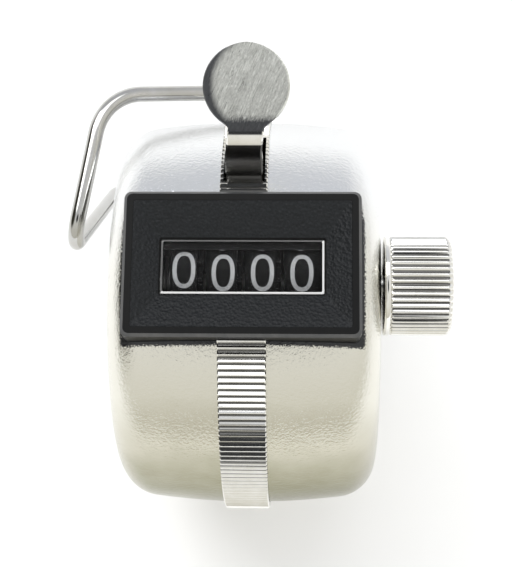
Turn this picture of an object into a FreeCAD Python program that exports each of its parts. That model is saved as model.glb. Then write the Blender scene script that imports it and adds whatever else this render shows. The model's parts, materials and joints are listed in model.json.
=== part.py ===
import FreeCAD, Part
import Sketcher
import math
import os

# Hand tally counter lying on its back.  X runs along the drum towards the reset knob, Y towards the
# thumb lever and Z out of the number window.  Each piece is drawn about the drum's axis, and all are
# lifted at the end so that the origin is the middle of the flat rest on the back.
DRIVING_DIMENSIONS = [
    ("drum_radius", 21.75), ("drum_end_radius", 21.1), ("drum_half_width", 14.2), ("end_dome", 0.35),
    ("shell_thickness", 0.8), ("shell_corner", 4.2), ("seam_gap", 0.01), ("opening_gap", 0.1),
    ("band_width", 4.9), ("band_outer", 22.5), ("rib_depth", 0.28), ("rib_count", 200),
    ("bezel_width", 24.0), ("bezel_height", 15.0), ("bezel_top", 22.7), ("bezel_rim", 0.95),
    ("bezel_corner", 0.9), ("bezel_chamfer", 0.35), ("wheel_clearance", 0.35), ("sill_depth", 0.25),
    ("lip_edge", 2.05), ("lip_thickness", 0.35), ("lens_gap", 0.75),
    ("neck_width", 20.4), ("neck_height", 12.2), ("neck_bottom", 19.3), ("funnel_bottom", 21.2),
    ("window_width", 16.6), ("window_height", 5.7), ("lens_thickness", 0.7), ("lens_margin", 0.45),
    ("wheel_axis_up", 13.0), ("wheel_radius", 6.9), ("wheel_width", 2.7), ("wheel_pitch", 4.0),
    ("wheel_bore", 1.25), ("wheel_hub", 2.2), ("gear_root", 5.75), ("gear_tip", 6.55),
    ("gear_width", 0.5), ("gear_teeth", 20),
    ("carry_disc", 5.55), ("pinion_distance", 8.7), ("pinion_root", 2.05), ("pinion_tip", 2.85),
    ("pinion_width", 1.1), ("pinion_teeth", 8), ("pinion_bore", 0.65), ("pinion_shaft_radius", 0.6),
    ("ratchet_tip", 5.6), ("ratchet_root", 4.6), ("ratchet_width", 0.8), ("ratchet_teeth", 10),
    ("shaft_radius", 1.2), ("shaft_left", 11.9), ("shaft_right", 19.5), ("shaft_hole", 2.4),
    ("knob_radius", 5.3), ("knurl_depth", 0.25), ("knurl_count", 48), ("knob_start", 14.5),
    ("knob_collar", 0.7), ("knob_length", 7.1), ("knob_chamfer", 0.45),
    ("plate_gap", 20.6), ("plate_thickness", 0.8), ("plate_radius", 19.7), ("bush_radius", 2.0),
    ("spacer_radius", 1.2), ("screw_radius", 0.7), ("screw_head", 1.5), ("stop_radius", 0.8),
    ("screw_head_height", 0.7), ("screw_reach", 2.5), ("driver_slot", 0.4),
    ("bush_flange", 0.7), ("bush_lip", 0.4),
    ("lever_thickness", 0.9), ("blade_width", 3.9), ("neck_blade_width", 3.5), ("yoke_reach", 8.8),
    ("yoke_arm_gap", 17.6), ("yoke_arm_thickness", 0.8), ("yoke_arm_width", 2.6), ("yoke_hub", 2.6),
    ("pad_radius", 4.4), ("pad_shift", 0.35), ("pad_lean", 13.5), ("slot_width", 4.3), ("slot_start", 9.2),
    ("shell_slot_start", 7.9), ("slot_end", 15.4), ("crossing_distance", 12.3), ("blade_lean", 27.5),
    ("blade_rise", 4.9), ("pad_offset", 5.3),
    ("pawl_pin_radius", 0.5), ("pawl_pin_reach", 7.3), ("pawl_thickness", 0.7), ("lever_angle", 33.4),
    ("ring_wire", 0.86), ("ring_bore", 0.92), ("knuckle_radius", 1.5), ("knuckle_length", 6.0),
    ("strap_width", 7.0), ("strap_outer", 23.2), ("rest_height", 23.7), ("rest_length", 9.0),
    ("rivet_radius", 0.9), ("rivet_head", 1.5), ("rivet_head_height", 0.45), ("fit_gap", 0.02),
    ("spring_radius", 3.0), ("spring_wire", 0.2), ("clip_width", 0.9), ("clip_thickness", 0.4),
]

doc = FreeCAD.newDocument("tally_counter")
sheet = doc.addObject("Spreadsheet::Sheet", "Dimensions")
for row, (alias, amount) in enumerate(DRIVING_DIMENSIONS, start=1):
    sheet.set("A%d" % row, alias)
    sheet.set("B%d" % row, str(amount))
    sheet.setAlias("B%d" % row, alias)
doc.recompute()

X_AXIS = FreeCAD.Vector(1, 0, 0)
Y_AXIS = FreeCAD.Vector(0, 1, 0)
Z_AXIS = FreeCAD.Vector(0, 0, 1)
ALONG_X = FreeCAD.Rotation(Y_AXIS, 90)
parts = {}


def size(alias):
    """One driving dimension, in millimetres or degrees."""
    return float(sheet.get(alias))


def amount(expression):
    """The number that an expression on the sheet gives now."""
    found = sheet.evalExpression(expression)
    return float(getattr(found, "Value", found))


def bind(thing, **expressions):
    for name, expression in expressions.items():
        thing.setExpression(name, expression)


def keep(thing, name):
    """Name a finished piece and put it on the list that is written."""
    thing.Label = name
    parts[name] = thing
    return thing


def plane(body, role):
    return [feature for feature in body.Origin.OriginFeatures if feature.Role == role][0]


def sketch_on(body, role, name):
    sketch = body.newObject("Sketcher::SketchObject", name)
    sketch.AttachmentSupport = [(plane(body, role), "")]
    sketch.MapMode = "FlatFace"
    return sketch


def pin_to(sketch, line, corner):
    """Tie a line's start to a place that the sheet gives."""
    for kind, expression in zip(("DistanceX", "DistanceY"), corner):
        value = amount(expression)
        number = sketch.addConstraint(Sketcher.Constraint(kind, -1, 1, line, 1, value))
        sketch.setExpression("Constraints[%d]" % number, expression)


def outline(sketch, corners):
    """A closed outline of straight lines through corners, each a pair of expressions."""
    places = [FreeCAD.Vector(amount(across), amount(up), 0) for across, up in corners]
    count = len(places)
    first = sketch.GeometryCount
    for index in range(count):
        sketch.addGeometry(Part.LineSegment(places[index], places[(index + 1) % count]), False)
    for index in range(count):
        following = first + (index + 1) % count
        sketch.addConstraint(Sketcher.Constraint("Coincident", first + index, 2, following, 1))
    for index in range(count):
        pin_to(sketch, first + index, corners[index])


def circle(sketch, across, up, radius):
    """A circle whose centre and radius are expressions."""
    centre = FreeCAD.Vector(amount(across), amount(up), 0)
    ring = sketch.addGeometry(Part.Circle(centre, Z_AXIS, amount(radius)), False)
    for kind, expression in (("DistanceX", across), ("DistanceY", up)):
        number = sketch.addConstraint(Sketcher.Constraint(kind, -1, 1, ring, 3, amount(expression)))
        sketch.setExpression("Constraints[%d]" % number, expression)
    number = sketch.addConstraint(Sketcher.Constraint("Radius", ring, amount(radius)))
    sketch.setExpression("Constraints[%d]" % number, radius)


def pocket(body, sketch, backwards):
    """Cut a sketch right through one side of a body and make sure that it cut."""
    before = body.Shape.Volume
    cut = body.newObject("PartDesign::Pocket", "Cut")
    cut.Profile = sketch
    cut.Type = "ThroughAll"
    cut.Reversed = backwards
    doc.recompute()
    if body.Shape.Volume >= before - 0.001:
        raise ValueError(body.Label + ": a pocket cut nothing")


def at(side, expression):
    """An expression on the right-hand side, or its mirror on the left."""
    return expression if side > 0 else "-(%s)" % expression


# ---------------------------------------------------------------- casing shells
def round_corner(body, base, name, depth, radius):
    """Round the shell's corner edge that lies depth inside its outer corner."""
    ring = size("drum_end_radius") - amount(depth)
    place = size("drum_half_width") - amount(depth)
    edges = []
    for number, edge in enumerate(base.Shape.Edges, start=1):
        is_ring = hasattr(edge.Curve, "Radius") and abs(edge.Curve.Radius - ring) < 0.01
        if is_ring and abs(abs(edge.BoundBox.Center.x) - place) < 0.01:
            edges.append("Edge%d" % number)
    fillet = body.newObject("PartDesign::Fillet", name)
    fillet.Base = (base, edges)
    fillet.setExpression("Radius", radius)
    doc.recompute()


def shell(name, side):
    """One half of the pressed casing: a shallow cup, open at the middle of the drum."""
    body = doc.addObject("PartDesign::Body", name)
    section = sketch_on(body, "XY_Plane", "Section")
    wall = "Dimensions.shell_thickness"
    outline(section, [
        (at(side, "Dimensions.seam_gap"), "Dimensions.drum_radius"),
        (at(side, "Dimensions.drum_half_width"), "Dimensions.drum_end_radius"),
        (at(side, "Dimensions.drum_half_width + Dimensions.end_dome"), "0"),
        (at(side, "Dimensions.drum_half_width + Dimensions.end_dome - " + wall), "0"),
        (at(side, "Dimensions.drum_half_width - " + wall), "Dimensions.drum_end_radius - " + wall),
        (at(side, "Dimensions.seam_gap"), "Dimensions.drum_radius - " + wall),
    ])
    cup = body.newObject("PartDesign::Revolution", "Cup")
    cup.Profile = section
    cup.ReferenceAxis = (section, ["H_Axis"])
    cup.Angle = 360
    doc.recompute()
    round_corner(body, cup, "OuterCorner", "0", "Dimensions.shell_corner")
    round_corner(body, body.Tip, "InnerCorner", wall, "Dimensions.shell_corner - " + wall)
    opening = sketch_on(body, "XY_Plane", "BezelOpening")
    half_width = "Dimensions.neck_width / 2 + Dimensions.opening_gap"
    half_height = "Dimensions.neck_height / 2 + Dimensions.opening_gap"
    outline(opening, [
        (at(-side, "1"), "-(%s)" % half_height), (at(side, half_width), "-(%s)" % half_height),
        (at(side, half_width), half_height), (at(-side, "1"), half_height),
    ])
    pocket(body, opening, True)
    slot = sketch_on(body, "XY_Plane", "LeverSlot")
    outline(slot, [
        (at(-side, "1"), "Dimensions.shell_slot_start"),
        (at(side, "Dimensions.slot_width / 2"), "Dimensions.shell_slot_start"),
        (at(side, "Dimensions.slot_width / 2"), "Dimensions.slot_end"),
        (at(-side, "1"), "Dimensions.slot_end"),
    ])
    pocket(body, slot, True)
    if side > 0:
        hole = sketch_on(body, "YZ_Plane", "ShaftHole")
        circle(hole, "0", "Dimensions.wheel_axis_up", "Dimensions.shaft_hole")
        pocket(body, hole, True)
    return keep(body, name)


shell("right_shell", 1)
shell("left_shell", -1)


# ---------------------------------------------------------------- shared shape makers
def feature(shape, name):
    """A piece whose solid is worked out here from the sheet's sizes."""
    thing = doc.addObject("Part::Feature", name)
    thing.Shape = shape
    return keep(thing, name)


def drum_point(radius, degrees, across=0.0):
    """A point at an angle from straight out of the window, turning towards the lever."""
    angle = math.radians(degrees)
    return FreeCAD.Vector(across, radius * math.sin(angle), radius * math.cos(angle))


def around_wheels(radius, degrees, across=0.0):
    """A point about the wheel axis, at an angle from +Y turning towards +Z."""
    angle = math.radians(degrees)
    up = size("wheel_axis_up")
    return FreeCAD.Vector(across, radius * math.cos(angle), up + radius * math.sin(angle))


def slab(points, start, width):
    """A flat outline, given at any X, made into a plate from start to start + width along X."""
    flat = [FreeCAD.Vector(start, point.y, point.z) for point in points]
    return Part.Face(Part.makePolygon(flat + [flat[0]])).extrude(FreeCAD.Vector(width, 0, 0))


def rod(radius, start, end, y, z):
    """A round bar along X."""
    return Part.makeCylinder(radius, end - start, FreeCAD.Vector(start, y, z), X_AXIS)


def block(x0, x1, y0, y1, z0, z1):
    return Part.makeBox(x1 - x0, y1 - y0, z1 - z0, FreeCAD.Vector(x0, y0, z0))


def drum_envelope(gap):
    """The outside of both shells, a little larger by gap."""
    near = size("drum_radius") + gap
    far = size("drum_end_radius") + gap
    length = size("drum_half_width")
    halves = [Part.makeCone(near, far, length, FreeCAD.Vector(0, 0, 0), X_AXIS * side) for side in (1, -1)]
    return halves[0].fuse(halves[1])


def toothed(root, tip, count, root_half, tip_half, first, start, width):
    """A toothed disc about the wheel axis; half angles and the first tooth's angle in degrees."""
    points = []
    for tooth in range(int(count)):
        middle = first + tooth * 360.0 / count
        points += [around_wheels(root, middle - root_half), around_wheels(tip, middle - tip_half),
                   around_wheels(tip, middle + tip_half), around_wheels(root, middle + root_half)]
    return slab(points, start, width)


def bent_wire(corners, bends, radius, closed):
    """Round wire of straight runs joined by tangent arcs at its corners, as a loop or with two ends."""
    count = len(corners)
    ends = []
    solids = []
    for index in range(count):
        here = corners[index]
        if not closed and index in (0, count - 1):
            ends.append((here, here))
            continue
        back = (corners[index - 1] - here).normalize()
        on = (corners[(index + 1) % count] - here).normalize()
        half = back.getAngle(on) / 2
        reach = bends[index] / math.tan(half)
        start = here + back * reach
        end = here + on * reach
        centre = here + (back + on).normalize() * (bends[index] / math.sin(half))
        axis = (start - centre).cross(end - centre).normalize()
        disc = Part.Face(Part.Wire(Part.makeCircle(radius, start, back)))
        solids.append(disc.revolve(centre, axis, math.degrees(math.pi - 2 * half)))
        ends.append((start, end))
    for index in range(count if closed else count - 1):
        start = ends[index][1]
        run = ends[(index + 1) % count][0] - start
        solids.append(Part.makeCylinder(radius, run.Length, start, run))
    return solids[0].fuse(solids[1:])


# ---------------------------------------------------------------- ribbed band round the drum
RIVET_ANGLES = (128.0, 152.0)


def rib_band():
    """A strip over the joint of the two shells, with cross ribs, open at the bezel."""
    half = size("band_width") / 2
    steps = int(size("rib_count")) * 2
    crest = size("band_outer")
    valley = crest - size("rib_depth")
    ribs = [drum_point(crest if step % 2 else valley, step * 360.0 / steps) for step in range(steps)]
    strip = slab(ribs, -half, 2 * half)
    strip = strip.cut(rod(size("drum_radius") + size("fit_gap"), -half - 1, half + 1, 0, 0))
    bezel_half = size("bezel_height") / 2 + size("fit_gap")
    strip = strip.cut(block(-half - 1, half + 1, -bezel_half, bezel_half, 0, 30))
    slot_half = size("slot_width") / 2
    strip = strip.cut(block(-slot_half, slot_half, size("slot_start"), size("slot_end"), 0, 30))
    for degrees in RIVET_ANGLES:
        strip = strip.cut(rivet_hole(degrees))
    return strip


def rivet_hole(degrees):
    radius = size("rivet_radius") + size("seam_gap")
    return Part.makeCylinder(radius, 5, drum_point(20, degrees), drum_point(1, degrees))


feature(rib_band(), "rib_band")


# ---------------------------------------------------------------- bezel and lens
def bezel():
    """Moulded window frame: a flange, a neck, a funnel and a lip over the far side of the wheels."""
    half_x = size("bezel_width") / 2
    half_y = size("bezel_height") / 2
    top = size("bezel_top")
    flange = block(-half_x, half_x, -half_y, half_y, 15, top)
    upright = [edge for edge in flange.Edges if abs(edge.Vertexes[0].Z - edge.Vertexes[1].Z) > 1]
    flange = flange.makeFillet(size("bezel_corner"), upright)
    rim_edges = [edge for edge in flange.Edges if edge.BoundBox.ZMin > top - 0.01]
    flange = flange.makeChamfer(size("bezel_chamfer"), rim_edges).cut(drum_envelope(size("fit_gap")))
    neck_x = size("neck_width") / 2
    neck_y = size("neck_height") / 2
    body = flange.fuse(block(-neck_x, neck_x, -neck_y, neck_y, size("neck_bottom"), top - 0.6))
    window_x = size("window_width") / 2
    window_y = size("window_height") / 2
    rim = size("bezel_rim")
    floor = size("funnel_bottom")
    mouth = rectangle(half_x - rim, half_y - rim, top)
    throat = rectangle(window_x + 0.1, window_y + 0.1, floor)
    body = body.cut(Part.makeLoft([throat, mouth], True, True))
    body = body.cut(block(-window_x, window_x, -window_y, window_y, 10, top))
    margin = size("lens_margin") + size("fit_gap")
    recess_top = floor - size("sill_depth")
    body = body.cut(block(-window_x - margin, window_x + margin, -window_y - margin, window_y + margin,
                          10, recess_top))
    lip_top = recess_top - size("lens_gap")
    lip = block(-window_x - margin, window_x + margin, size("lip_edge"), window_y + margin + 0.1,
                lip_top - size("lip_thickness"), lip_top)
    body = body.fuse(lip)
    reach = size("yoke_arm_gap") / 2 - 0.2
    wheels = rod(size("wheel_radius") + size("wheel_clearance"), -reach, reach, 0, size("wheel_axis_up"))
    return body.cut(wheels).removeSplitter()


def rectangle(half_x, half_y, z):
    corners = [(-half_x, -half_y), (half_x, -half_y), (half_x, half_y), (-half_x, half_y)]
    return Part.makePolygon([FreeCAD.Vector(x, y, z) for x, y in corners + corners[:1]])


feature(bezel(), "bezel")

lens = doc.addObject("Part::Box", "window_lens")
bind(lens, Length="Dimensions.window_width + 2 * Dimensions.lens_margin",
     Width="Dimensions.window_height + 2 * Dimensions.lens_margin", Height="Dimensions.lens_thickness")
lens.Placement.Base = FreeCAD.Vector(
    -size("window_width") / 2 - size("lens_margin"), -size("window_height") / 2 - size("lens_margin"),
    size("funnel_bottom") - size("sill_depth") - size("seam_gap") - size("lens_thickness"))
keep(lens, "window_lens")

# ---------------------------------------------------------------- inner frame
PLATE_START = size("plate_gap") / 2
SPACERS = [(-12.0, -5.0), (12.0, -5.0), (0.0, -14.0), (-2.6, 4.0)]
STOP_PLACE = (9.0, 12.85)
PINION_ANGLE = 225.0
PINION_PLACE = around_wheels(size("pinion_distance"), PINION_ANGLE)


def frame_plate(name, side):
    """A round side plate that carries the shafts, held to the other one by the spacers."""
    body = doc.addObject("PartDesign::Body", name)
    disc = sketch_on(body, "YZ_Plane", "Outline")
    circle(disc, "0", "0", "Dimensions.plate_radius")
    circle(disc, "0", "Dimensions.wheel_axis_up", "Dimensions.bush_radius + Dimensions.fit_gap")
    for y, z in SPACERS:
        circle(disc, str(y), str(z), "Dimensions.screw_radius + Dimensions.fit_gap")
    circle(disc, str(STOP_PLACE[0]), str(STOP_PLACE[1]), "Dimensions.stop_radius + Dimensions.fit_gap")
    circle(disc, str(round(PINION_PLACE.y, 4)), str(round(PINION_PLACE.z, 4)),
           "Dimensions.pinion_shaft_radius + Dimensions.fit_gap")
    pad = body.newObject("PartDesign::Pad", "Plate")
    pad.Profile = disc
    pad.setExpression("Length", "Dimensions.plate_thickness")
    start = PLATE_START if side > 0 else -PLATE_START - size("plate_thickness")
    body.Placement.Base = FreeCAD.Vector(start, 0, 0)
    doc.recompute()
    return keep(body, name)


frame_plate("right_frame_plate", 1)
frame_plate("left_frame_plate", -1)


def group(name, solids):
    return feature(Part.makeCompound(solids), name)


def spacer(y, z):
    bar = rod(size("spacer_radius"), -PLATE_START, PLATE_START, y, z)
    bore = size("screw_radius")
    return bar.cut(rod(bore, -PLATE_START - 1, -PLATE_START + 3, y, z)).cut(
        rod(bore, PLATE_START - 3, PLATE_START + 1, y, z))


def screw(y, z, side):
    """A pan head screw through a plate into the end of a spacer."""
    outside = PLATE_START + size("plate_thickness")
    height = size("screw_head_height")
    seat = FreeCAD.Vector(side * outside, y, z)
    length = size("plate_thickness") + size("screw_reach")
    shank = Part.makeCylinder(size("screw_radius"), length, seat, X_AXIS * -side)
    head = Part.makeCylinder(size("screw_head"), height, seat, X_AXIS * side)
    crown = [edge for edge in head.Edges if abs(abs(edge.BoundBox.Center.x) - outside - height) < 0.01]
    head = head.makeFillet(0.3, [edge for edge in crown if hasattr(edge.Curve, "Radius")])
    face = side * (outside + height)
    slot_half = size("driver_slot") / 2
    across = size("screw_head") + 0.1
    driver = block(face - height / 2, face + height / 2, y - across, y + across,
                   z - slot_half, z + slot_half)
    return head.cut(driver).fuse(shank)


group("frame_spacers", [spacer(y, z) for y, z in SPACERS])
group("frame_screws", [screw(y, z, side) for y, z in SPACERS for side in (1, -1)])


def shaft_bush(side):
    """A flanged bush in the plate that the reset shaft turns in."""
    y, z = 0, size("wheel_axis_up")
    plate = size("plate_thickness")
    inner = PLATE_START - size("bush_lip")
    sleeve = rod(size("bush_radius"), inner, PLATE_START + plate, y, z)
    flange = rod(size("bush_radius") + size("bush_flange"), inner, PLATE_START, y, z)
    bush = sleeve.fuse(flange).cut(rod(size("wheel_bore"), 5, 15, y, z))
    return bush if side > 0 else bush.mirror(FreeCAD.Vector(0, 0, 0), X_AXIS)


group("shaft_bushes", [shaft_bush(1), shaft_bush(-1)])

STOP_END = PLATE_START + size("plate_thickness")


def cylinder_along_x(name, radius, start, end, y, z):
    bar = doc.addObject("Part::Cylinder", name)
    bind(bar, Radius=radius)
    bar.Height = end - start
    bar.Placement = FreeCAD.Placement(FreeCAD.Vector(start, y, z), ALONG_X)
    return keep(bar, name)


cylinder_along_x("lever_stop", "Dimensions.stop_radius", -STOP_END, STOP_END, *STOP_PLACE)
cylinder_along_x("pinion_shaft", "Dimensions.pinion_shaft_radius", -STOP_END - 0.9, STOP_END + 0.9,
                 PINION_PLACE.y, PINION_PLACE.z)


def shaft_clip(shaft, start, y, z):
    """A snap ring on a shaft's end."""
    end = start + size("clip_thickness")
    ring = rod(shaft + size("clip_width"), start, end, y, z).cut(rod(shaft, start - 1, end + 1, y, z))
    return ring.cut(block(start - 1, start + 1, y - shaft * 0.8, y + shaft * 0.8, z - shaft - 2, z))


group("pinion_shaft_clips", [shaft_clip(size("pinion_shaft_radius"), start, PINION_PLACE.y, PINION_PLACE.z)
                             for start in (STOP_END + 0.1, -STOP_END - 0.5)])

# ---------------------------------------------------------------- number wheels, pinions and ratchet
WHEELS = ["thousands", "hundreds", "tens", "units"]
WHEEL_CENTRES = [(index - 1.5) * size("wheel_pitch") for index in range(len(WHEELS))]


def number_wheel(centre, has_gear, has_carry):
    """A number wheel with its drive gear on the right and its two-tooth carry disc on the left."""
    half = size("wheel_width") / 2
    y, z = 0, size("wheel_axis_up")
    wheel = rod(size("wheel_radius"), centre - half, centre + half, y, z)
    inside = size("carry_disc") - 0.6
    for start in (centre - half - 1, centre + half - 0.6):
        dish = rod(inside, start, start + 1.6, y, z).cut(rod(size("wheel_hub"), start - 1, start + 3, y, z))
        wheel = wheel.cut(dish)
    width = size("gear_width")
    if has_gear:
        gear = toothed(size("gear_root"), size("gear_tip"), size("gear_teeth"), 2.8, 1.3, PINION_ANGLE,
                       centre + half, width)
        wheel = wheel.fuse(gear.cut(rod(inside, centre, centre + 3, y, z)))
    if has_carry:
        disc = rod(size("carry_disc"), centre - half - width, centre - half, y, z)
        pitch = 360.0 / size("gear_teeth")
        for place in (1, 2):
            middle = PINION_ANGLE + place * pitch
            corners = [around_wheels(size("carry_disc") - 0.3, middle - 2.8),
                       around_wheels(size("gear_tip"), middle - 1.3),
                       around_wheels(size("gear_tip"), middle + 1.3),
                       around_wheels(size("carry_disc") - 0.3, middle + 2.8)]
            disc = disc.fuse(slab(corners, centre - half - width, width))
        wheel = wheel.fuse(disc.cut(rod(inside, centre - 3, centre, y, z)))
    return wheel.cut(rod(size("wheel_bore"), centre - 3, centre + 3, y, z))


for index, order in enumerate(WHEELS):
    feature(number_wheel(WHEEL_CENTRES[index], index < 3, index > 0), order + "_wheel")


def carry_pinion(start):
    """An eight-tooth pinion that carries one tenth of a turn to the next wheel."""
    count = int(size("pinion_teeth"))
    pitch = 360.0 / count
    points = []
    for tooth in range(count):
        middle = PINION_ANGLE + 180 + pitch / 2 + tooth * pitch
        for radius, turn in ((size("pinion_root"), -9), (size("pinion_tip"), -4),
                             (size("pinion_tip"), 4), (size("pinion_root"), 9)):
            angle = math.radians(middle + turn)
            out = FreeCAD.Vector(0, math.cos(angle), math.sin(angle)) * radius
            points.append(PINION_PLACE + out)
    pinion = slab(points, start, size("pinion_width"))
    return pinion.cut(rod(size("pinion_bore"), start - 1, start + 3, PINION_PLACE.y, PINION_PLACE.z))


for index, order in enumerate(WHEELS[:3]):
    gap_start = WHEEL_CENTRES[index] + size("wheel_width") / 2 + 0.1
    feature(carry_pinion(gap_start), order + "_pinion")


def ratchet():
    """Ten saw teeth beside the units wheel, pushed one tooth at each press."""
    start = WHEEL_CENTRES[3] + size("wheel_width") / 2
    count = int(size("ratchet_teeth"))
    points = []
    for tooth in range(count):
        middle = size("lever_angle") - 26 + tooth * 360.0 / count
        points += [around_wheels(size("ratchet_root"), middle),
                   around_wheels(size("ratchet_tip"), middle + 2)]
    wheel = slab(points, start, size("ratchet_width"))
    return wheel.cut(rod(size("wheel_bore"), start - 1, start + 3, 0, size("wheel_axis_up")))


feature(ratchet(), "units_ratchet")

# ---------------------------------------------------------------- reset shaft and knob
cylinder_along_x("reset_shaft", "Dimensions.shaft_radius", -size("shaft_left"), size("shaft_right"),
                 0, size("wheel_axis_up"))


def reset_knob():
    """A knurled knob with a plain collar, pressed on the shaft's right end."""
    y, z = 0, size("wheel_axis_up")
    start = size("knob_start")
    end = start + size("knob_length")
    crest = size("knob_radius")
    valley = crest - size("knurl_depth")
    steps = int(size("knurl_count")) * 2
    knurl = [around_wheels(crest if step % 2 else valley, step * 360.0 / steps) for step in range(steps)]
    grip = slab(knurl, start + size("knob_collar"), size("knob_length") - size("knob_collar"))
    cap = rod(crest, start, end, y, z)
    rims = [edge for edge in cap.Edges if hasattr(edge.Curve, "Radius") and edge.BoundBox.XMin > end - 0.01]
    grip = grip.common(cap.makeChamfer(size("knob_chamfer"), rims))
    collar = rod(crest - 0.05, start, start + size("knob_collar"), y, z)
    return grip.fuse(collar).cut(rod(size("shaft_radius"), start - 1, size("shaft_right"), y, z))


feature(reset_knob(), "reset_knob")
CLIP_START = -size("shaft_left") + 0.05
feature(shaft_clip(size("shaft_radius"), CLIP_START, 0, size("wheel_axis_up")), "shaft_clip")

# ---------------------------------------------------------------- thumb lever and pawl
BLADE_LEAN = size("blade_lean")
SLOT_CROSSING = around_wheels(size("crossing_distance"), size("lever_angle"))
OUTER_BEND = SLOT_CROSSING + drum_point(size("blade_rise"), BLADE_LEAN)
PAD_LEAN = math.radians(size("pad_lean"))
PAD_ALONG = FreeCAD.Vector(0, math.cos(PAD_LEAN), math.sin(PAD_LEAN))
PAD_NORMAL = FreeCAD.Vector(0, -math.sin(PAD_LEAN), math.cos(PAD_LEAN))
PAD_CENTRE = OUTER_BEND + PAD_ALONG * size("pad_offset") + X_AXIS * size("pad_shift")
WEB = around_wheels(size("yoke_reach"), size("lever_angle"))
PAWL_PIN = around_wheels(size("pawl_pin_reach"), size("lever_angle"))


def strip(path, width):
    """A bent strip of the lever's thickness through a path, as wide as width along X."""
    flat = [FreeCAD.Vector(-width / 2, point.y, point.z) for point in path]
    around = Part.makePolygon(flat).makeOffset2D(size("lever_thickness") / 2, 0, False, False, False)
    return Part.Face(around).extrude(FreeCAD.Vector(width, 0, 0))


def thumb_lever():
    """One bent pressing: round pad, blade through the slot and a yoke that straddles the wheels."""
    thickness = size("lever_thickness")
    blade = strip([WEB, SLOT_CROSSING, SLOT_CROSSING + drum_point(2.4, BLADE_LEAN)], size("blade_width"))
    neck = strip([SLOT_CROSSING + drum_point(1.5, BLADE_LEAN), OUTER_BEND, OUTER_BEND + PAD_ALONG * 3],
                 size("neck_blade_width"))
    underside = PAD_CENTRE - PAD_NORMAL * (thickness / 2)
    pad = Part.makeCylinder(size("pad_radius"), thickness, underside, PAD_NORMAL)
    arm_start = size("yoke_arm_gap") / 2
    arm_end = arm_start + size("yoke_arm_thickness")
    half_depth = thickness / 2
    web = slab([around_wheels(size("yoke_reach") + out * half_depth, size("lever_angle") + turn)
                for out, turn in ((-1, -7), (1, -7), (1, 7), (-1, 7))], -arm_end, 2 * arm_end)
    lever = blade.fuse([neck, pad, web])
    y, z = 0, size("wheel_axis_up")
    angle = math.radians(size("lever_angle"))
    across = FreeCAD.Vector(0, -math.sin(angle), math.cos(angle)) * (size("yoke_arm_width") / 2)
    tip = around_wheels(size("yoke_reach") + 0.3, size("lever_angle"))
    foot = around_wheels(0, 0)
    for side in (1, -1):
        start = arm_start if side > 0 else -arm_end
        width = size("yoke_arm_thickness")
        arm = slab([foot - across, tip - across, tip + across, foot + across], start, width)
        arm = arm.fuse(rod(size("yoke_hub"), start, start + width, y, z))
        lever = lever.fuse(arm.cut(rod(size("wheel_bore"), start - 1, start + 2, y, z)))
    return lever.cut(rod(size("pawl_pin_radius"), 5, 15, PAWL_PIN.y, PAWL_PIN.z)).removeSplitter()


feature(thumb_lever(), "thumb_lever")

PAWL_START = WHEEL_CENTRES[3] + size("wheel_width") / 2 + 0.05
PIN_END = size("yoke_arm_gap") / 2 + size("yoke_arm_thickness")
feature(rod(size("pawl_pin_radius"), PAWL_START - 0.1, PIN_END, PAWL_PIN.y, PAWL_PIN.z), "pawl_pin")


def drive_pawl():
    """A small pawl on the yoke whose beak stands just clear of the ratchet at rest."""
    width = size("pawl_thickness")
    boss = rod(0.95, PAWL_START, PAWL_START + width, PAWL_PIN.y, PAWL_PIN.z)
    angle = size("lever_angle")
    outline_places = [(7.9, -2), (6.55, -5), (5.85, -20), (6.5, -22), (7.6, -12)]
    beak = slab([around_wheels(radius, angle + turn) for radius, turn in outline_places], PAWL_START, width)
    bore = rod(size("pawl_pin_radius") + 0.03, PAWL_START - 1, PAWL_START + 2, PAWL_PIN.y, PAWL_PIN.z)
    return boss.fuse(beak).cut(bore).removeSplitter()


feature(drive_pawl(), "drive_pawl")


def lever_spring():
    """A torsion spring of close turns round the reset shaft, beside the thousands wheel."""
    turns, corners_each, pitch, start = 2, 10, 0.5, -8.5
    points = []
    for corner in range(turns * corners_each + 1):
        share = corner / corners_each
        points.append(around_wheels(size("spring_radius"), share * 360, start + share * pitch))
    bends = [size("spring_radius") * 0.6] * len(points)
    return bent_wire(points, bends, size("spring_wire"), False)


feature(lever_spring(), "lever_spring")


def detent_leaf():
    """A leaf spring on the lowest spacer that lies just off the ratchet and stops it running back."""
    lean = math.radians(20)
    near = around_wheels(5.95, 180 + math.degrees(lean))
    along = FreeCAD.Vector(0, math.sin(lean), -math.cos(lean))
    tip = near - along * 1.2
    foot = near + along * 5.4
    side = FreeCAD.Vector(0, -math.cos(lean), -math.sin(lean)) * 0.25
    leaf = slab([tip, foot, foot + side, tip + side], PAWL_START, size("pawl_thickness"))
    return leaf.cut(rod(size("spacer_radius"), 0, 15, *SPACERS[3]))


feature(detent_leaf(), "detent_leaf")

# ---------------------------------------------------------------- ring, strap and rivets
HINGE_ANGLE = 99.8
HINGE_DISTANCE = 23.9
LEG_UP = 9.1
LEG_DOWN = 14.5
HINGE_FOOT = drum_point(HINGE_DISTANCE, HINGE_ANGLE)
HINGE_ALONG = FreeCAD.Vector(0, math.cos(math.radians(HINGE_ANGLE)), -math.sin(math.radians(HINGE_ANGLE)))
RING_CORNERS = [
    HINGE_FOOT - HINGE_ALONG * LEG_UP,
    FreeCAD.Vector(-16.1, 21.9, 12.4),
    FreeCAD.Vector(-19.2, 4.2, 11.3),
    FreeCAD.Vector(-18.4, 20.4, -17.6),
    HINGE_FOOT + HINGE_ALONG * LEG_DOWN,
]
RING_BENDS = [2.4, 6.0, 2.6, 4.5, 2.6]
feature(bent_wire(RING_CORNERS, RING_BENDS, size("ring_wire"), True), "finger_ring")


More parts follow.
